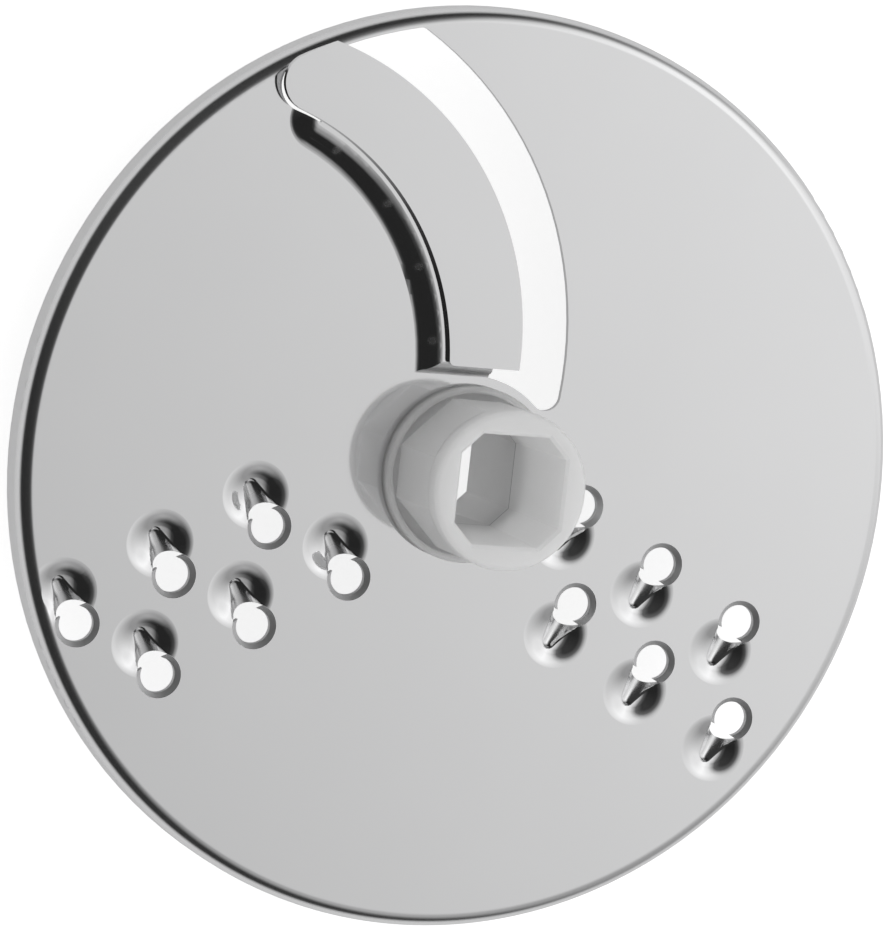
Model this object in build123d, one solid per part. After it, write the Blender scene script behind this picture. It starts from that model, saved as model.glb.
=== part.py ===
from build123d import *
import os
from math import asin, atan2, cos, degrees, hypot, radians, sin, sqrt, tan

# Slicing and shredding disc: a pressed steel disc, a welded-on slicing blade and a moulded hub.
# Millimetres, +Z along the hub's axis, origin at the centre of the hub's lower end face.
# Everything is drawn with the top of the plate at z = 0 and lifted to its place at the end.

# Disc
DISC_RADIUS = 55.0
SHEET = 0.7
RIM_DEPTH = 4.5
BEND_RADIUS = 1.8  # outside of the bend at the rim

# Hub
HUB_LENGTH = 31.0
BARREL_ACROSS = 17.7  # between opposite flats
BARREL_CORNER = 5.75  # leg of each cut corner
COLLAR_OVERLAP = 0.025  # collar, groove and flange reach this far past the barrel's corners
COLLAR_LENGTH = 2.6
COLLAR_ROUND = 0.6
FLANGE_OVERLAP = 1.125
FLANGE_HEIGHT = 2.0
FLANGE_ROUND = 0.3
GROOVE_OVERLAP = 0.375
GROOVE_DEPTH = 0.9
HUB_WALL = 2.75  # between barrel and socket at the plate, where the socket is narrowest
SOCKET_CORNER = 2.2
SOCKET_DRAFT = 1.5  # degrees
SOCKET_BEVEL = 0.35  # at both entries

# Slicing blade
REAR_START = (-4.2, 10.7)  # the rear edge leaves here straight up the plate and bends over to the rim
EDGE_START = (4.6, 14.0)  # the same for the cutting edge
REAR_END = 128.04  # degrees round the disc, where the rear edge runs out beside the rim
END_SPREAD = 13.57  # degrees, from there to where the cutting edge runs out
BLADE_THICKNESS = 0.8
BLADE_INSET = 0.7  # outer end of the blade, from the outside of the rim
BLADE_END_SHARE = 0.265  # radius of the blade's round end, as a share of the width there
BLADE_INNER_Y = 12.8
BLADE_CORNER_ROUND = 0.7
BEVEL_WIDTH = 2.4
EDGE_THICKNESS = 0.1

# Slot in front of the blade
SLOT_WIDTH = 6.6  # from the cutting edge to the slot's far edge
SLOT_INSET = 1.9  # from the outside of the rim
SLOT_HUB_GAP = 1.1  # from the hub's flange
SLOT_OUTER_ROUND = 1.5
SLOT_INNER_ROUND = 1.9

# Raised seat under the blade, stepped up from the plate along its rear and at its inner end
SEAT_RISE = 1.2
STEP_WIDTH = 3.6  # from the blade's rear edge back to the foot of the step
STEP_RUN = 3.0
STEP_STOP = 19.26  # degrees about the rear centre, by which the step stops short of the rear edge's end
SEAT_FOOT_Y = 11.5  # the seat's inner end steps up from here
SEAT_END_RUN = 1.6
SEAT_SETBACK = 3.0  # from the cutting edge back to the front of the seat
LANCE_GAP = 0.25  # gap sheared through the sheet round the seat's outer end
POCKET_INSET = 1.4  # outer end of the gap, from the outside of the rim
POCKET_END_SHARE = 0.37  # the same for the gap, whose end is narrower

# Shredding teeth
TOOTH_COUNT = 12
FIRST_TOOTH_GAP = 4.4  # from the hub's flange to the middle of the first hole, along its group
LAST_TOOTH_INSET = 4.9  # from the outside of the rim
ROW_OFFSET = 5.0
GROUP_ANGLES = (330.0, 210.0)
HOLE_RADIUS = 2.7
LIP_INSET = 0.6  # the edge of the hole is pressed down and in
LIP_DROP = 0.5
MOUTH_START = 1.6  # from the middle of the hole towards the hood
HOOD_HALF_WIDTH = 1.9  # where the mouth starts
HOOD_LENGTH = 6.3  # from the middle of the hole
HOOD_END_ROUND = 1.05
HOOD_WALL = 0.55
HOOD_BORDER_ROUND = 0.4
HOOD_FOOT_ROUND = 0.3
DENT_CENTRE = 4.2  # the sheet sinks round the hood; from the middle of the hole
DENT_FLOOR = 1.0  # radius of the level middle of the dent
DENT_RUN = 3.2
DENT_DEPTH = 0.7

FAR = 200.0  # larger than the part
TOUCH = 0.001  # closer than this counts as touching


def beside_rim(angle):
    """The point at an angle round the disc where the blade runs out beside the rim."""
    return BLADE_REACH * cos(radians(angle)), BLADE_REACH * sin(radians(angle))


def arc_radius(start, end):
    """Radius of the arc that leaves one point straight up the plate and bends left through another."""
    left, up = start[0] - end[0], end[1] - start[1]
    return (left**2 + up**2) / (2 * left)


# Sizes that follow from those above
PLATE_TOP = HUB_LENGTH / 2 + SHEET / 2
FLAT_RADIUS = DISC_RADIUS - BEND_RADIUS
BARREL_RADIUS = hypot(BARREL_ACROSS / 2, BARREL_ACROSS / 2 - BARREL_CORNER)  # to the barrel's corners
COLLAR_RADIUS = BARREL_RADIUS + COLLAR_OVERLAP
GROOVE_RADIUS = BARREL_RADIUS + GROOVE_OVERLAP
FLANGE_RADIUS = BARREL_RADIUS + FLANGE_OVERLAP
SOCKET_WAIST = BARREL_ACROSS - 2 * HUB_WALL
BLADE_REACH = DISC_RADIUS - BLADE_INSET
EDGE_RADIUS = arc_radius(EDGE_START, beside_rim(REAR_END - END_SPREAD))
FRONT_CENTRE = (EDGE_START[0] - EDGE_RADIUS, EDGE_START[1])  # also of the slot's far edge
REAR_RADIUS = arc_radius(REAR_START, beside_rim(REAR_END))
REAR_CENTRE = (REAR_START[0] - REAR_RADIUS, REAR_START[1])  # also of the step behind the blade
REAR_SWEEP = degrees(asin((beside_rim(REAR_END)[1] - REAR_CENTRE[1]) / REAR_RADIUS))
STEP_END = REAR_SWEEP - STEP_STOP
STEP_RADIUS = REAR_RADIUS - STEP_WIDTH
SLOT_RADIUS = EDGE_RADIUS + SLOT_WIDTH
SLOT_REACH = DISC_RADIUS - SLOT_INSET
POCKET_REACH = DISC_RADIUS - POCKET_INSET
SLOT_INNER_RADIUS = FLANGE_RADIUS + SLOT_HUB_GAP
FIRST_TOOTH = FLANGE_RADIUS + FIRST_TOOTH_GAP
LAST_TOOTH = DISC_RADIUS - LAST_TOOTH_INSET
TOOTH_STEP = (LAST_TOOTH - FIRST_TOOTH) / (TOOTH_COUNT - 1)  # from each tooth's track out to the next


def cut_square(across, corner):
    """A square with its four corners cut off at 45 degrees."""
    return chamfer(Rectangle(across, across).vertices(), corner)


def barrel_section():
    return cut_square(BARREL_ACROSS, BARREL_CORNER)


def disc_at(centre, radius):
    """A flat circle about a point of the plate."""
    return Pos(*centre) * Circle(radius)


def beyond(y):
    """Everything on the plate beyond a straight line across it."""
    return Pos(0, y + FAR / 2) * Rectangle(FAR, FAR)


def below(z):
    """Everything under a level."""
    return Pos(0, 0, z - FAR / 2) * Box(FAR, FAR, FAR)


def edges_at(solid, z):
    """The edges of a solid that lie at one level."""
    return solid.edges().filter_by_position(Axis.Z, z - TOUCH, z + TOUCH)


def through(face):
    """A flat shape run through the whole height of the part."""
    return extrude(Pos(0, 0, -FAR / 2) * face, FAR)


def spun(points, centre=(0, 0)):
    """A section given as (radius, height) points, spun about a vertical axis."""
    return Pos(*centre) * revolve(Plane.XZ * make_face(Polyline(points, close=True)), Axis.Z)


def blank_skin():
    """The outer side of the blank as a section: level plate, bend and turned-down rim."""
    bend = JernArc((FLAT_RADIUS, 0), (1, 0), BEND_RADIUS, -90)
    return [Line((0, 0), bend @ 0), bend, Line(bend @ 1, (DISC_RADIUS, -RIM_DEPTH))]


def within_skin():
    """Everything under the outer side of the blank, down to the edge of its rim."""
    skin = blank_skin()
    axis_low = (0, -RIM_DEPTH)
    closing = [Line(skin[-1] @ 1, axis_low), Line(axis_low, (0, 0))]
    return revolve(Plane.XZ * make_face(skin + closing), Axis.Z)


def pressed_blank():
    """The plate and its turned-down rim: one bent section spun about the hub's axis."""
    skin = blank_skin()
    inside = JernArc((FLAT_RADIUS, -SHEET), (1, 0), BEND_RADIUS - SHEET, -90)
    edge_inner = (DISC_RADIUS - SHEET, -RIM_DEPTH)
    back = [
        Line(skin[-1] @ 1, edge_inner),
        Line(edge_inner, inside @ 1),
        inside,
        Line(inside @ 0, (0, -SHEET)),
        Line((0, -SHEET), (0, 0)),
    ]
    return revolve(Plane.XZ * make_face(skin + back), Axis.Z)


def curved_strip(edge_radius, rear_radius, reach, end_share, inner_y):
    """A strip between the two arcs, with a round end where it runs out beside the rim."""
    strip = disc_at(FRONT_CENTRE, edge_radius) - disc_at(REAR_CENTRE, rear_radius)
    strip = strip & Circle(reach) & beyond(inner_y)
    rear_corner, edge_corner = strip.vertices().sort_by(Axis.Y)[-2:].sort_by(Axis.X)
    return fillet(rear_corner, end_share * rear_corner.distance_to(edge_corner))


def seat_outline(gap):
    """The raised seat and the steps round it, seen from above, with a gap sheared round its outer end."""
    edge_radius = EDGE_RADIUS - SEAT_SETBACK
    reach = POCKET_REACH - LANCE_GAP + gap
    strip = curved_strip(edge_radius, REAR_RADIUS - gap, reach, POCKET_END_SHARE, SEAT_FOOT_Y)
    corners = [(0, 0), (FAR, 0), (FAR * cos(radians(STEP_END)), FAR * sin(radians(STEP_END)))]
    wedge = make_face(Polyline(corners, close=True))
    band = (Circle(REAR_RADIUS + SHEET) - Circle(STEP_RADIUS)) & wedge
    return strip + ((Pos(*REAR_CENTRE) * band) & beyond(SEAT_FOOT_Y))


def step_end():
    """The point where the step behind the seat ends and runs out round a corner."""
    turn = radians(STEP_END)
    return REAR_CENTRE[0] + REAR_RADIUS * cos(turn), REAR_CENTRE[1] + REAR_RADIUS * sin(turn)


def run_out_outline():
    """The rounded end of the step, seen from above: part of a circle, up to the sheared gap."""
    past_end = Pos(*REAR_CENTRE) * Rot(0, 0, STEP_END) * beyond(0)
    round_end = disc_at(step_end(), REAR_RADIUS - STEP_RADIUS) & past_end
    return round_end & disc_at(REAR_CENTRE, REAR_RADIUS - LANCE_GAP)


def slot_opening():
    """The hole in the plate for the slot, the seat, its steps and the gap sheared round its outer end."""
    slot = disc_at(FRONT_CENTRE, SLOT_RADIUS) - disc_at(FRONT_CENTRE, EDGE_RADIUS - SEAT_SETBACK)
    slot = (slot & Circle(SLOT_REACH) & beyond(0)) - Circle(SLOT_INNER_RADIUS)
    slot = fillet(slot.vertices().sort_by(Axis.X)[-1], SLOT_INNER_ROUND)
    slot = fillet(slot.vertices().sort_by(Axis.Y)[-1], SLOT_OUTER_ROUND)
    return slot + seat_outline(LANCE_GAP) + run_out_outline()


def step_bends(start, run, rise, top):
    """Two equal bends that step the top or the underside of the sheet up from a point."""
    slope = 2 * atan2(rise, run)
    middle = run / (2 * sin(slope))
    half_sheet = -SHEET / 2 if top else SHEET / 2
    low_bend = JernArc(start, (1, 0), middle + half_sheet, degrees(slope))
    high_bend = JernArc(low_bend @ 1, low_bend % 1, middle - half_sheet, -degrees(slope))
    return low_bend, high_bend


def under_step(foot, run, end, top):
    """The section under one side of the sheet where it steps up to the seat, as far as an end."""
    level = 0 if top else -SHEET
    low_bend, high_bend = step_bends((foot, level), run, SEAT_RISE, top)
    end_top = (end, level + SEAT_RISE)
    end_low = (end, -RIM_DEPTH)
    foot_low = (foot, -RIM_DEPTH)
    outline = [
        low_bend,
        high_bend,
        Line(high_bend @ 1, end_top),
        Line(end_top, end_low),
        Line(end_low, foot_low),
        Line(foot_low, low_bend @ 0),
    ]
    return make_face(outline)


def under_seat(top):
    """Everything under one side of the raised sheet: stepped up from the rear and from the inner end."""
    rear = Plane.XZ * under_step(STEP_RADIUS, STEP_RUN, DISC_RADIUS, top)
    inner = Plane.YZ * under_step(SEAT_FOOT_Y, SEAT_END_RUN, DISC_RADIUS, top)
    return (Pos(*REAR_CENTRE) * revolve(rear, Axis.Z)) & extrude(inner, DISC_RADIUS, both=True)


def under_run_out(top):
    """Everything under one side of the step's rounded end: the step spun about the point where it ends."""
    section = under_step(STEP_RADIUS - REAR_RADIUS, STEP_RUN, 0, top)
    return Pos(*step_end()) * revolve(Plane.XZ * section, Axis.Z)


def blade_seat():
    """The raised sheet under the blade and the rounded end of its step, cut to their outlines."""
    seat = (under_seat(True) - under_seat(False)) & through(seat_outline(0))
    run_out = (under_run_out(True) - under_run_out(False)) & through(run_out_outline())
    return seat + run_out


def slicing_blade():
    """A flat curved blade with its cutting edge ground from below."""
    outline = curved_strip(EDGE_RADIUS, REAR_RADIUS, BLADE_REACH, BLADE_END_SHARE, BLADE_INNER_Y)
    inner_end = outline.vertices().sort_by(Axis.Y)[:2]
    outline = fillet(inner_end.sort_by(Axis.X)[0], BLADE_CORNER_ROUND)
    plate = extrude(Pos(0, 0, SEAT_RISE) * outline, BLADE_THICKNESS)
    edge_height = SEAT_RISE + BLADE_THICKNESS - EDGE_THICKNESS
    bevel = spun(
        [
            (EDGE_RADIUS - BEVEL_WIDTH, SEAT_RISE),
            (EDGE_RADIUS, edge_height),
            (EDGE_RADIUS + BEVEL_WIDTH, edge_height),
            (EDGE_RADIUS + BEVEL_WIDTH, 0),
            (EDGE_RADIUS - BEVEL_WIDTH, 0),
        ],
        FRONT_CENTRE,
    )
    return plate - bevel


def dent(level, top):
    """Everything from a level to one side of the sheet where it sinks round a hood."""
    floor = TOUCH - DENT_DEPTH - (0 if top else SHEET)
    low_bend, high_bend = step_bends((DENT_FLOOR, floor), DENT_RUN, DENT_DEPTH, top)
    edge = high_bend @ 1
    outline = [
        Line((0, floor), low_bend @ 0),
        low_bend,
        high_bend,
        Line(edge, (edge.X, level)),
        Line((edge.X, level), (0, level)),
        Line((0, level), (0, floor)),
    ]
    return Pos(DENT_CENTRE, 0) * revolve(Plane.XZ * make_face(outline), Axis.Z)


def hood_form(wall):
    """The tapering hood of a tooth, round about a line along the plate's top, grown by a wall."""
    start = HOOD_HALF_WIDTH + wall
    end_round = HOOD_END_ROUND + wall
    end_centre = HOOD_LENGTH - HOOD_END_ROUND - MOUTH_START
    distance = hypot(end_centre, start)
    heading = asin(end_round / distance) - atan2(start, end_centre)
    straight = sqrt(distance**2 - end_round**2)
    tangent = (straight * cos(heading), start + straight * sin(heading))
    nose = (end_centre + end_round, 0)
    outline = [
        Line((0, 0), (0, start)),
        Line((0, start), tangent),
        CenterArc((end_centre, 0), end_round, 0, 90 + degrees(heading)),
        Line(nose, (0, 0)),
    ]
    return Pos(MOUTH_START, 0) * revolve(make_face(outline), Axis.X)


def hood_border(solid):
    """The curved edges where a hood leaves the dent."""
    curved = [e for e in solid.edges() if e.geom_type == GeomType.BSPLINE]
    return [e for e in curved if e.center().X > MOUTH_START + TOUCH]


def tooth_metal():
    """What a tooth adds under the plate: sunk sheet, the outside of its hood and the lip of its hole."""
    middle = -SHEET / 2
    hood = dent(middle, top=False) + (hood_form(HOOD_WALL) & below(middle))
    hood = fillet(hood_border(hood), HOOD_FOOT_ROUND)
    lip_radius = HOLE_RADIUS + HOOD_WALL
    lip = spun(
        [
            (0, middle),
            (lip_radius, middle),
            (lip_radius, -SHEET),
            (HOLE_RADIUS - LIP_INSET, -SHEET - LIP_DROP),
            (0, -SHEET - LIP_DROP),
        ]
    )
    return hood + lip


def tooth_recess():
    """What a tooth takes away: dent and hood with a soft border between them, then hole and mouth."""
    hollow = dent(SHEET, top=True) + (hood_form(0) & below(0))
    hollow = fillet(hood_border(hollow), HOOD_BORDER_ROUND)
    hole = spun(
        [
            (0, SHEET),
            (HOLE_RADIUS, SHEET),
            (HOLE_RADIUS, 0),
            (HOLE_RADIUS - LIP_INSET, -LIP_DROP),
            (HOLE_RADIUS - LIP_INSET, -RIM_DEPTH),
            (0, -RIM_DEPTH),
        ]
    )
    mouth = Pos(0, 0, -RIM_DEPTH / 2) * Cylinder(HOLE_RADIUS, RIM_DEPTH)
    mouth = mouth & (Pos(MOUTH_START + FAR / 2, 0, 0) * Box(FAR, FAR, FAR))
    return hollow, hole + mouth


def tooth_places():
    """Two groups of two staggered rows, so that each tooth sweeps its own track round the plate."""
    places = []
    for k in range(TOOTH_COUNT):
        group = radians(GROUP_ANGLES[k % 2])
        along = FIRST_TOOTH + TOOTH_STEP * k
        across = ROW_OFFSET if k % 4 < 2 else -ROW_OFFSET
        x = along * cos(group) - across * sin(group)
        y = along * sin(group) + across * cos(group)
        places.append(Location((x, y, 0), (0, 0, degrees(group) - 90)))
    return places


def pressed_disc():
    """The whole sheet-metal disc: blank, slot, blade seat, teeth and the opening the hub grips."""
    disc = pressed_blank() - through(slot_opening()) - through(barrel_section())
    disc = disc + blade_seat()
    metal, recess, skin = tooth_metal(), tooth_recess(), within_skin()
    places = tooth_places()
    disc = disc + [(place * metal) & skin for place in places]
    return disc - [place * cutter for cutter in recess for place in places]


def hub_half():
    """The hub above the plate's middle: barrel, end collar, flange and half of the drive socket."""
    end = HUB_LENGTH / 2
    barrel = extrude(barrel_section(), end - COLLAR_LENGTH / 2)
    collar = extrude(Pos(0, 0, end - COLLAR_LENGTH) * Circle(COLLAR_RADIUS), COLLAR_LENGTH)
    collar = fillet(edges_at(collar, end), COLLAR_ROUND)
    seat, top = SHEET / 2, SHEET / 2 + FLANGE_HEIGHT
    floor = top - GROOVE_DEPTH
    flange = spun(
        [
            (0, seat),
            (FLANGE_RADIUS, seat),
            (FLANGE_RADIUS, top),
            (GROOVE_RADIUS, top),
            (GROOVE_RADIUS, floor),
            (0, floor),
        ]
    )
    flange = fillet(edges_at(flange, top), FLANGE_ROUND)
    waist = cut_square(SOCKET_WAIST, SOCKET_CORNER)
    socket = extrude(waist, end, taper=-SOCKET_DRAFT)
    mouth = offset(waist, end * tan(radians(SOCKET_DRAFT)) + SOCKET_BEVEL, kind=Kind.INTERSECTION)
    entry = extrude(Pos(0, 0, end) * mouth, -2 * SOCKET_BEVEL, taper=45)
    return barrel + collar + flange - socket - entry


def moulded_hub():
    """Both halves of the hub are alike, since the disc is used either way up."""
    half = hub_half()
    return half + mirror(half, Plane.XY)


pieces = {
    "disc": Pos(0, 0, PLATE_TOP) * pressed_disc(),
    "slicing_blade": Pos(0, 0, PLATE_TOP) * slicing_blade(),
    "hub": Pos(0, 0, HUB_LENGTH / 2) * moulded_hub(),
}

os.makedirs("parts", exist_ok=True)
for name, piece in pieces.items():
    box = piece.bounding_box()
    print(name, "solids", len(piece.solids()), "valid", piece.is_valid, "mm3", round(piece.volume, 1), box)
    export_step(piece, f"parts/{name}.step")
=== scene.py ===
# %% [markdown]
# # A slicing and shredding disc
#
# This lesson dresses a small kitchen disc for its portrait. Three solids come from the CAD model: a pressed
# steel disc, a curved slicing blade and a moulded hub. Everything is in metres, with the hub's lower end on
# the floor at the origin and +Z along the hub's axis. The shapes are finished as they come, so no piece is
# added here, and the work goes into light and finish.

# %% Load the frame
from math import cos, radians, sin

import bpy
import numpy as np
from mathutils import Matrix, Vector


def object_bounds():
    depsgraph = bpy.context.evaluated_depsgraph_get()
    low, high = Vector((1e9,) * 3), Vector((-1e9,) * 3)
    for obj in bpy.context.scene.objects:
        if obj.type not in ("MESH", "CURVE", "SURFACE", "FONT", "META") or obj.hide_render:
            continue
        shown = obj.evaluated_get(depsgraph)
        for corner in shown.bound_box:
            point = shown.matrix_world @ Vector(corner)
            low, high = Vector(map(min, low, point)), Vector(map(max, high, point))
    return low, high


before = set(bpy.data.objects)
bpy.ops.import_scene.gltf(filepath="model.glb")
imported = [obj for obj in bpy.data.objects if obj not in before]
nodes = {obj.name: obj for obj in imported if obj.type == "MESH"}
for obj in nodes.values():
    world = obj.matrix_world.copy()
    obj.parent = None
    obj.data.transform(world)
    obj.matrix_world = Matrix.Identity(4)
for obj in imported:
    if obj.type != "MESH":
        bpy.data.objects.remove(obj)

cad_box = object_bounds()
print("nodes", sorted(nodes), "box", cad_box)

# %% [markdown]
# ## A few sizes
#
# Camera and finishes need to know where the sheet lies. Its place could be written down in numbers, but it
# also follows from the box of the solids: the hub is as long above the plate as below it, so the sheet lies
# half way up, and the rim is as wide as the box.

# %% Sizes of the disc
SHEET = 0.0007
BEND_RADIUS = 0.0018  # outside of the bend at the rim

hub_middle = cad_box[1][2] / 2
plate_top = hub_middle + SHEET / 2
flat_radius = cad_box[1][0] - BEND_RADIUS  # where the level plate ends and the bend begins
print("plate top", round(plate_top, 5), "flat to", round(flat_radius, 5))

# %% [markdown]
# ## The camera
#
# The photograph looks almost straight down the hub. Its camera was worked out from the round rim, the rows
# of holes and the hub's flange: it stands about 0.66 m from the plate, tipped 22 degrees off the hub's axis.
# The tilt leans over one direction of the plate, which the picture shows running right and a little down.
# A camera can be aimed by a constraint, but a matrix of its own directions says exactly where it looks.

# %% Camera from the photograph
FRAME_WIDTH, FRAME_HEIGHT = 891, 944
TILT = radians(22.15)
LEAN = radians(22.0)  # in the picture, from the right towards the bottom
TURN = radians(16.8)  # on the plate, from the leaning direction to +X
DISTANCE = 0.6633
PIXELS_PER_METRE = 8450.0
CENTRE_PIXEL = (465.37, 473.05)
SENSOR_WIDTH = 36.0

# Directions in the camera's own terms: right, down and forward.
leaning = np.array([cos(LEAN) * cos(TILT), sin(LEAN) * cos(TILT), sin(TILT)])
level = np.array([sin(LEAN), -cos(LEAN), 0.0])
axis = np.cross(leaning, level)
plate_to_camera = np.stack(
    [cos(TURN) * leaning + sin(TURN) * level, cos(TURN) * level - sin(TURN) * leaning, axis], axis=1
)
right, down, forward = plate_to_camera

centre_offset = np.array(
    [
        (CENTRE_PIXEL[0] - FRAME_WIDTH / 2) / PIXELS_PER_METRE,
        (CENTRE_PIXEL[1] - FRAME_HEIGHT / 2) / PIXELS_PER_METRE,
        DISTANCE,
    ]
)
eye = np.array([0.0, 0.0, plate_top]) - plate_to_camera.T @ centre_offset

camera_data = bpy.data.cameras.new("photo_camera")
camera_data.sensor_width = SENSOR_WIDTH
camera_data.lens = PIXELS_PER_METRE * DISTANCE * SENSOR_WIDTH / max(FRAME_WIDTH, FRAME_HEIGHT)
camera = bpy.data.objects.new("photo_camera", camera_data)
bpy.context.scene.collection.objects.link(camera)
placing = np.eye(4)
placing[:3] = np.stack([right, -down, -forward, eye], axis=1)
camera.matrix_world = Matrix(placing.tolist())
bpy.context.scene.camera = camera
print("eye", eye.round(4), "lens", round(camera_data.lens, 1))

# %% [markdown]
# ## Helpers for node trees
#
# Light and finish are both made of shader nodes, which can be joined by hand in the editor or, as here, by a
# script. These short helpers empty a tree, add a node with its settings and join values, so that the cells
# below read like the formulas they stand for.

# %% Node helpers
def fresh_nodes(owner):
    """Empties a node tree and returns it."""
    owner.use_nodes = True
    owner.node_tree.nodes.clear()
    return owner.node_tree


def add_node(tree, kind, **settings):
    """Adds a node; a setting named after an input fills that input, any other is the node's own property."""
    node = tree.nodes.new(kind)
    for name, value in settings.items():
        label = name.replace("_", " ").title()
        if label in node.inputs:
            node.inputs[label].default_value = value
        else:
            setattr(node, name, value)
    return node


def finish_tree(tree, shader, kind="ShaderNodeOutputMaterial"):
    """Sends a shader to the tree's output."""
    output = add_node(tree, kind)
    tree.links.new(shader, output.inputs["Surface"])


# %% Helpers for values and places
def arithmetic(tree, operation, first, second):
    """Joins two values, each a link or a plain number, by one arithmetic step."""
    node = add_node(tree, "ShaderNodeMath", operation=operation)
    for value, socket in zip((first, second), node.inputs):
        if isinstance(value, float):
            socket.default_value = value
        else:
            tree.links.new(value, socket)
    return node.outputs["Value"]


def vector_step(tree, operation, *vectors):
    """Works on one or two vectors, each a link or a fixed one, and returns the node."""
    node = add_node(tree, "ShaderNodeVectorMath", operation=operation)
    for vector, socket in zip(vectors, node.inputs):
        if isinstance(vector, tuple):
            socket.default_value = vector
        else:
            tree.links.new(vector, socket)
    return node


def remapped(tree, value, start, end, low, high, easing="LINEAR"):
    """Carries a value from one range over to another, and holds it at the ends."""
    node = add_node(
        tree,
        "ShaderNodeMapRange",
        interpolation_type=easing,
        from_min=start,
        from_max=end,
        to_min=low,
        to_max=high,
    )
    tree.links.new(value, node.inputs["Value"])
    return node.outputs["Result"]


def height_of(tree, place):
    """The Z of a place."""
    apart = add_node(tree, "ShaderNodeSeparateXYZ")
    tree.links.new(place, apart.inputs["Vector"])
    return apart.outputs["Z"]


def over_plate(tree, place):
    """A place with its height taken out."""
    return vector_step(tree, "MULTIPLY", place, (1.0, 1.0, 0.0)).outputs["Vector"]


# %% [markdown]
# ## The light
#
# A polished plate shows its surroundings, so the light is set by what the plate sees. Lamps would leave
# bright spots in it, while a dome with a soft pattern gives the long gradients of a studio. The dome is dark
# on the side where the camera stands: level steel mirrors the pale part, and every bend that turns towards
# the camera's side mirrors the dark part. It is brightest towards the top of the picture, as under a large
# soft panel.

# %% What a mirror sees of the dome
MIRROR_LIGHT = (  # brightness along the tilt, from the camera's side to the far side
    (-0.12, 0.03),
    (0.08, 0.10),
    (0.27, 0.62),
    (0.45, 0.84),
    (0.65, 0.68),
    (0.90, 0.62),
)
# How the panel ends across the tilt: where it is gone, where it is whole, and the share left beyond.
NEAR_SIDE = (-0.72, -0.40, 0.05)  # towards the bottom of the picture
FAR_SIDE = (0.95, 0.55, 0.10)  # towards the top
SIDE_SLANT = (-0.3, 0.3, 0.55, 1.45)  # in between it grows brighter: from, to, and the share at each
HORIZON = (0.10, 0.30, 0.5)  # a pale band low round the studio: where it fades, from and to, and its light
DARKEST = 0.02

world = bpy.data.worlds.new("studio")
bpy.context.scene.world = world
tree = fresh_nodes(world)
direction = add_node(tree, "ShaderNodeTexCoord").outputs["Generated"]
along_tilt = vector_step(tree, "DOT_PRODUCT", direction, (cos(TURN), -sin(TURN), 0.0)).outputs["Value"]
across_tilt = vector_step(tree, "DOT_PRODUCT", direction, (sin(TURN), cos(TURN), 0.0)).outputs["Value"]

# A direction's part along the tilt runs from -1 to 1, and a colour ramp from 0 to 1.
ramp = add_node(tree, "ShaderNodeValToRGB")
tree.links.new(remapped(tree, along_tilt, -1.0, 1.0, 0.0, 1.0), ramp.inputs["Fac"])
stops = ramp.color_ramp.elements
while len(stops) < len(MIRROR_LIGHT):
    stops.new(0.5)
for stop, (along, light) in zip(stops, MIRROR_LIGHT):
    stop.position = (along + 1) / 2
    stop.color = (light, light, light, 1)

panel = ramp.outputs["Color"]
for share in (
    remapped(tree, across_tilt, *NEAR_SIDE, 1.0, "SMOOTHSTEP"),
    remapped(tree, across_tilt, *FAR_SIDE, 1.0, "SMOOTHSTEP"),
    remapped(tree, across_tilt, *SIDE_SLANT),
):
    panel = arithmetic(tree, "MULTIPLY", panel, share)
horizon = remapped(tree, height_of(tree, direction), *HORIZON, DARKEST, "SMOOTHSTEP")
mirrored = arithmetic(tree, "MAXIMUM", panel, horizon)
print("light in a mirror along the tilt", [light for along, light in MIRROR_LIGHT])

# %% [markdown]
# ## Plain light
#
# The world can tell what kind of ray asks. A ray that left a mirror gets the pattern above, a ray that
# carries plain light gets a soft light that is weaker from the camera's side, and a ray straight from the
# camera sees white.

# %% Plain light and white surround
PLAIN_LIGHT = (0.4, 1.4)  # from the camera's side to the far side
WHITE = (1.0, 1.0, 1.0, 1.0)

rays = add_node(tree, "ShaderNodeLightPath")
choice = add_node(tree, "ShaderNodeMix", data_type="FLOAT")
tree.links.new(rays.outputs["Is Glossy Ray"], choice.inputs["Factor"])
tree.links.new(remapped(tree, along_tilt, -1.0, 1.0, *PLAIN_LIGHT), choice.inputs["A"])
tree.links.new(mirrored, choice.inputs["B"])
strength = arithmetic(tree, "MAXIMUM", choice.outputs["Result"], rays.outputs["Is Camera Ray"])
background = add_node(tree, "ShaderNodeBackground", color=WHITE)
tree.links.new(strength, background.inputs["Strength"])
finish_tree(tree, background.outputs["Background"], "ShaderNodeOutputWorld")
bpy.context.scene.view_settings.view_transform = "Standard"
print("plain light", PLAIN_LIGHT)

# %% [markdown]
# ## The floor
#
# The floor is a plain pale sheet with four corners. Paint alone would need more light on the object to turn
# white, so a part of the white is a glow for the rays that look at the floor, and the rest is paint that
# takes the disc's soft shadow. Polished steel sees a smaller share of the glow, and so more of the shade
# under the plate, which keeps the edges of slot and holes from turning white.

# %% White floor
FLOOR_HALF = 1.5
FLOOR_GLOW = 0.76
MIRROR_SHARE = 0.33  # of that glow, for polished steel
FLOOR_WHITE = 0.5

floor_mesh = bpy.data.meshes.new("studio_floor")
corners = np.array([[-1, -1, 0], [1, -1, 0], [1, 1, 0], [-1, 1, 0]]) * FLOOR_HALF
floor_mesh.from_pydata(corners.tolist(), [], [(0, 1, 2, 3)])
floor = bpy.data.objects.new("studio_floor", floor_mesh)
bpy.context.scene.collection.objects.link(floor)

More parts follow.
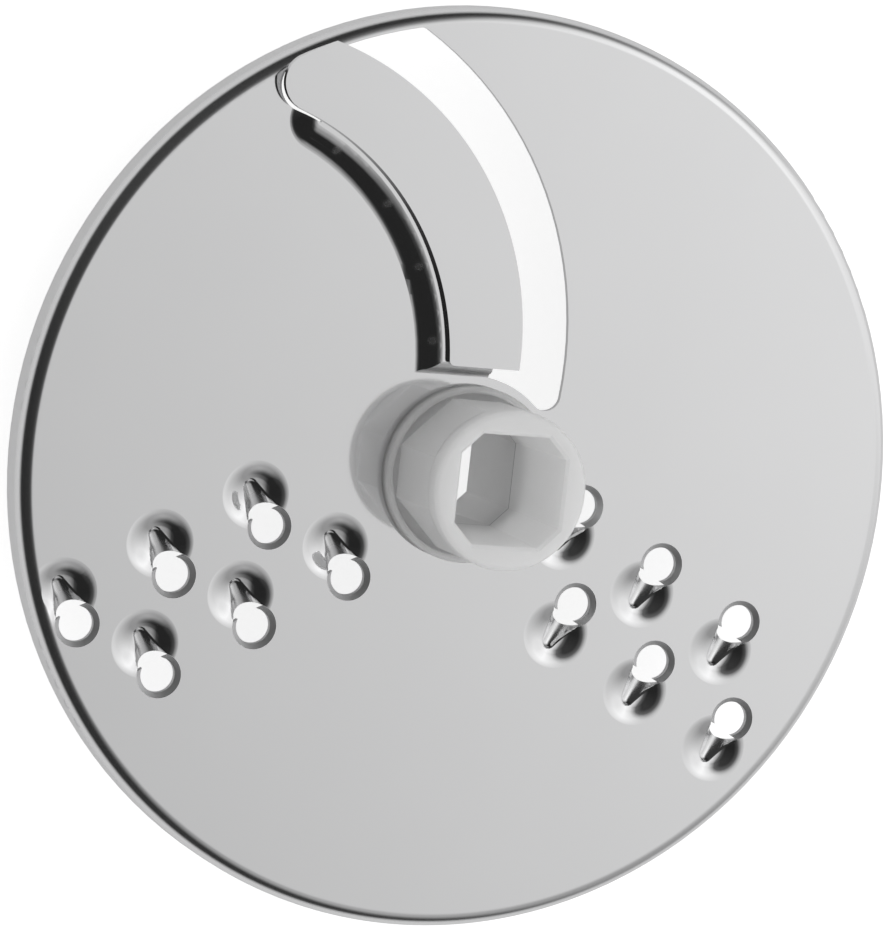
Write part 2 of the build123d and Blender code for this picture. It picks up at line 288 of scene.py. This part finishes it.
floor_white = bpy.data.materials.new("floor_white")
tree = fresh_nodes(floor_white)
rays = add_node(tree, "ShaderNodeLightPath")
seen = arithmetic(tree, "MAXIMUM", rays.outputs["Is Camera Ray"], rays.outputs["Is Transmission Ray"])
seen_in_steel = arithmetic(tree, "MULTIPLY", rays.outputs["Is Glossy Ray"], MIRROR_SHARE)
seen = arithmetic(tree, "MAXIMUM", seen, seen_in_steel)
glow = add_node(tree, "ShaderNodeEmission")
tree.links.new(arithmetic(tree, "MULTIPLY", seen, FLOOR_GLOW), glow.inputs["Strength"])
paint = add_node(tree, "ShaderNodeBsdfDiffuse", color=(FLOOR_WHITE, FLOOR_WHITE, FLOOR_WHITE, 1))
both = add_node(tree, "ShaderNodeAddShader")
tree.links.new(glow.outputs["Emission"], both.inputs[0])
tree.links.new(paint.outputs["BSDF"], both.inputs[1])
finish_tree(tree, both.outputs["Shader"])
floor_mesh.materials.append(floor_white)
print("floor", FLOOR_HALF * 2, "m square")

# %% [markdown]
# ## Where the steel stays dull
#
# A polishing wheel does not reach everywhere. The insides of the teeth, the punched edges of their holes, the
# turned rim and four weld marks on the step behind the blade stay duller. A painted map could say where, but
# the holes stand in two groups of two staggered rows, each hole 3.2 mm further out than the one before, so
# their places follow from a short formula.

# %% Places of the holes and the weld marks
FIRST_TOOTH, TOOTH_STEP, ROW_OFFSET = 0.0149, 0.0032, 0.005
TOOTH_COUNT = 12
GROUP_ANGLES = (330.0, 210.0)
STEP_CENTRE = np.array([-0.0364, 0.0107])
WELD_RADIUS = 0.0304  # from the step's centre to the marks
WELD_ANGLES = np.radians([9.0, 26.0, 42.0, 59.0])

# Every other hole is in the other group, and in each group they change rows in turn.
tooth = np.arange(TOOTH_COUNT)
group = np.radians(np.where(tooth % 2 == 0, *GROUP_ANGLES))
along = FIRST_TOOTH + TOOTH_STEP * tooth
across = np.where(tooth % 4 < 2, ROW_OFFSET, -ROW_OFFSET)
holes = np.stack(
    [along * np.cos(group) - across * np.sin(group), along * np.sin(group) + across * np.cos(group)], axis=1
)
welds = STEP_CENTRE + WELD_RADIUS * np.stack([np.cos(WELD_ANGLES), np.sin(WELD_ANGLES)], axis=1)
disc_middle = np.zeros((1, 2))
print("holes", len(holes), "weld marks", len(welds))

# %% [markdown]
# Each kind of dull place is a distance with a start, an end and a roughness. The steel takes the largest of
# them at every point.

# %% Roughness of the dull places
# Where each kind starts, where it is full, and its roughness.
DEEP_DULL = (0.0008, 0.0014, 0.32)  # by depth below the plate's top
EDGE_DULL = (0.00285, 0.00260, 0.55)  # by distance from the middle of a hole
RIM_DULL = (0.0528, 0.0536, 0.20)  # from the middle of the disc
WELD_DULL = (0.0008, 0.0003, 0.28)  # from the middle of a weld mark
FAR_AWAY = 1.0  # further than any point of the disc is from a spot


def nearest(tree, flat, spots):
    """Distance over the plate from each point to the closest of some spots."""
    closest = FAR_AWAY
    for x, y in spots.tolist():
        distance = vector_step(tree, "DISTANCE", flat, (x, y, 0.0)).outputs["Value"]
        closest = arithmetic(tree, "MINIMUM", distance, closest)
    return closest


def dull_places(tree, place):
    """Roughness of the places the polishing wheel does not reach, and nothing elsewhere."""
    depth = arithmetic(tree, "SUBTRACT", plate_top, height_of(tree, place))
    flat = over_plate(tree, place)
    dull = 0.0
    for distance, (start, full, roughness) in (
        (depth, DEEP_DULL),
        (nearest(tree, flat, holes), EDGE_DULL),
        (nearest(tree, flat, disc_middle), RIM_DULL),
        (nearest(tree, flat, welds), WELD_DULL),
    ):
        dull = arithmetic(tree, "MAXIMUM", remapped(tree, distance, start, full, 0.0, roughness), dull)
    return dull


print("roughness inside the teeth", DEEP_DULL[2], "and on the rim", RIM_DULL[2])

# %% [markdown]
# ## The rim's true curve
#
# The solid reaches the renderer as small flat triangles, and polished metal betrays them along a tight bend.
# A finer mesh would hide them, but the solid's mesh is kept as it comes. This bend is a plain quarter circle
# in section, so the steel can work out for itself which way each point of it faces: straight away from the
# middle of that circle.

# %% Which way the rim faces
def rim_facing(tree, place, elsewhere):
    """The direction the outside of the rim faces; every other point keeps the direction it is given."""
    flat = over_plate(tree, place)
    radius = vector_step(tree, "LENGTH", flat).outputs["Value"]
    out = arithmetic(tree, "SUBTRACT", radius, flat_radius)
    outward = vector_step(tree, "SCALE", flat)
    tree.links.new(arithmetic(tree, "DIVIDE", out, radius), outward.inputs["Scale"])

    above = arithmetic(tree, "SUBTRACT", height_of(tree, place), plate_top - BEND_RADIUS)
    upward = add_node(tree, "ShaderNodeCombineXYZ")
    tree.links.new(arithmetic(tree, "MAXIMUM", above, 0.0), upward.inputs["Z"])

    away = vector_step(tree, "ADD", outward.outputs["Vector"], upward.outputs["Vector"]).outputs["Vector"]
    distance = vector_step(tree, "LENGTH", away).outputs["Value"]
    outside = arithmetic(tree, "GREATER_THAN", distance, BEND_RADIUS - SHEET / 2)
    on_rim = arithmetic(tree, "MULTIPLY", outside, arithmetic(tree, "GREATER_THAN", out, 0.0))

    # A Mix node keeps its vector sockets after those for plain numbers, under the same names.
    choice = add_node(tree, "ShaderNodeMix", data_type="VECTOR")
    tree.links.new(on_rim, choice.inputs[0])
    tree.links.new(elsewhere, choice.inputs[4])
    tree.links.new(vector_step(tree, "NORMALIZE", away).outputs["Vector"], choice.inputs[5])
    return choice.outputs[1]


print("the bend begins", round(flat_radius, 5), "m from the axis")

# %% [markdown]
# ## Polished steel
#
# Disc and blade are polished stainless steel: a neutral metal with a low roughness that varies a little, as a
# polishing wheel leaves it, and hair-fine marks that only show in close light. Noise on the piece's own
# coordinates makes both; it needs no picture and stays sharp from close by.

# %% Clouds and faint relief
def cloudy_tone(tree, place, scale, detail, tint, darker):
    """Soft noise at a scale, and a tint that wanders with it down to a darker share of itself."""
    clouds = add_node(tree, "ShaderNodeTexNoise", scale=scale, detail=detail)
    tree.links.new(place, clouds.inputs["Vector"])
    tone = add_node(tree, "ShaderNodeMixRGB")
    tone.inputs["Color1"].default_value = (*[v * darker for v in tint], 1)
    tone.inputs["Color2"].default_value = (*tint, 1)
    tree.links.new(clouds.outputs["Fac"], tone.inputs["Fac"])
    return clouds.outputs["Fac"], tone.outputs["Color"]


def raised(tree, pattern, strength, distance):
    """A faint relief from a pattern."""
    bump = add_node(tree, "ShaderNodeBump", strength=strength, distance=distance)
    tree.links.new(pattern, bump.inputs["Height"])
    return bump.outputs["Normal"]


def dress(node, material):
    """Gives a CAD node's own slots a better material."""
    for slot in node.material_slots:
        slot.material = material
    print(node.name, "dressed in", material.name)


# %% Steel
STEEL_TINT = (0.80, 0.80, 0.805)
STEEL_DARKER = 0.97
STEEL_CLOUDS, STEEL_CLOUD_DETAIL = 60.0, 4.0
POLISH, POLISH_SWING = 0.065, 0.012  # roughness, and how far it wanders
MARK_SCALE = (900.0, 9000.0, 900.0)  # the marks run along X
MARK_STRENGTH, MARK_DEPTH = 0.02, 0.00002
FINE_DETAIL = 2.0


def polished_steel(name, pressed):
    """Metal whose roughness wanders with soft noise, crossed by fine marks as a faint bump."""
    material = bpy.data.materials.new(name)
    tree = fresh_nodes(material)
    place = add_node(tree, "ShaderNodeTexCoord").outputs["Object"]
    clouds, tone = cloudy_tone(tree, place, STEEL_CLOUDS, STEEL_CLOUD_DETAIL, STEEL_TINT, STEEL_DARKER)
    rough = remapped(tree, clouds, 0.0, 1.0, POLISH - POLISH_SWING, POLISH + POLISH_SWING)
    stretch = add_node(tree, "ShaderNodeMapping")
    stretch.inputs["Scale"].default_value = MARK_SCALE
    tree.links.new(place, stretch.inputs["Vector"])
    marks = add_node(tree, "ShaderNodeTexNoise", scale=1.0, detail=FINE_DETAIL)
    tree.links.new(stretch.outputs["Vector"], marks.inputs["Vector"])
    facing = raised(tree, marks.outputs["Fac"], MARK_STRENGTH, MARK_DEPTH)
    if pressed:
        rough = arithmetic(tree, "MAXIMUM", rough, dull_places(tree, place))
        facing = rim_facing(tree, place, facing)
    metal = add_node(tree, "ShaderNodeBsdfPrincipled", metallic=1.0)
    tree.links.new(tone, metal.inputs["Base Color"])
    tree.links.new(rough, metal.inputs["Roughness"])
    tree.links.new(facing, metal.inputs["Normal"])
    finish_tree(tree, metal.outputs["BSDF"])
    return material


dress(nodes["disc"], polished_steel("disc_steel", pressed=True))
dress(nodes["slicing_blade"], polished_steel("blade_steel", pressed=False))

# %% [markdown]
# ## Frosted plastic
#
# The hub is moulded in natural polypropylene: milky, with light that soaks in and comes out elsewhere, and a
# fine satin skin from the mould. Scattering below the surface gives the milky depth, and a translucent share
# lets light on through the walls. The socket was shaped by two cores that met half way and left a thin line
# there, which is too fine for a shape and is drawn as a darker tone.

# %% Line where the cores met
PLASTIC_TINT = (0.93, 0.93, 0.93)
LINE_HALF, LINE_TONE = 0.00016, 0.6


def core_line(tree, place, tone):
    """A tone with a thin darker line at half the hub's height."""
    offset = arithmetic(tree, "SUBTRACT", height_of(tree, place), hub_middle)
    from_middle = arithmetic(tree, "ABSOLUTE", offset, 0.0)
    lined = add_node(tree, "ShaderNodeMixRGB")
    lined.inputs["Color1"].default_value = (*[v * LINE_TONE for v in PLASTIC_TINT], 1)
    tree.links.new(remapped(tree, from_middle, LINE_HALF / 2, LINE_HALF, 0.0, 1.0), lined.inputs["Fac"])
    tree.links.new(tone, lined.inputs["Color2"])
    return lined.outputs["Color"]


print("core line", round(hub_middle, 5), "m up the hub")

# %% Hub plastic
PLASTIC_DARKER = 0.95
PLASTIC_CLOUDS, PLASTIC_CLOUD_DETAIL = 180.0, 3.0
GRAIN_SCALE, GRAIN_STRENGTH, GRAIN_DEPTH = 2500.0, 0.15, 0.00003
SATIN = 0.38
SOAK_DEPTH = 0.0035  # how far light wanders inside
CLEAR_SHARE = 0.15
PASSED_ON = 0.4  # share of the light that goes on through the wall
PLASTIC_IOR = 1.49


def milky_plastic(name):
    """A plastic that scatters light and lets some through, with a satin skin and the cores' line."""
    material = bpy.data.materials.new(name)
    tree = fresh_nodes(material)
    place = add_node(tree, "ShaderNodeTexCoord").outputs["Object"]
    _, tone = cloudy_tone(
        tree, place, PLASTIC_CLOUDS, PLASTIC_CLOUD_DETAIL, PLASTIC_TINT, PLASTIC_DARKER
    )
    colour = core_line(tree, place, tone)
    grain = add_node(tree, "ShaderNodeTexNoise", scale=GRAIN_SCALE, detail=FINE_DETAIL)
    tree.links.new(place, grain.inputs["Vector"])
    skin = raised(tree, grain.outputs["Fac"], GRAIN_STRENGTH, GRAIN_DEPTH)
    plastic = add_node(tree, "ShaderNodeBsdfPrincipled", roughness=SATIN)
    plastic.inputs["Subsurface Weight"].default_value = 1.0
    plastic.inputs["Subsurface Radius"].default_value = (1.0, 1.0, 1.0)
    plastic.inputs["Subsurface Scale"].default_value = SOAK_DEPTH
    plastic.inputs["Transmission Weight"].default_value = CLEAR_SHARE
    plastic.inputs["IOR"].default_value = PLASTIC_IOR
    tree.links.new(colour, plastic.inputs["Base Color"])
    tree.links.new(skin, plastic.inputs["Normal"])
    passed_on = add_node(tree, "ShaderNodeBsdfTranslucent")
    tree.links.new(colour, passed_on.inputs["Color"])
    both = add_node(tree, "ShaderNodeMixShader", fac=PASSED_ON)
    tree.links.new(plastic.outputs["BSDF"], both.inputs[1])
    tree.links.new(passed_on.outputs["BSDF"], both.inputs[2])
    finish_tree(tree, both.outputs["Shader"])
    return material


dress(nodes["hub"], milky_plastic("hub_plastic"))
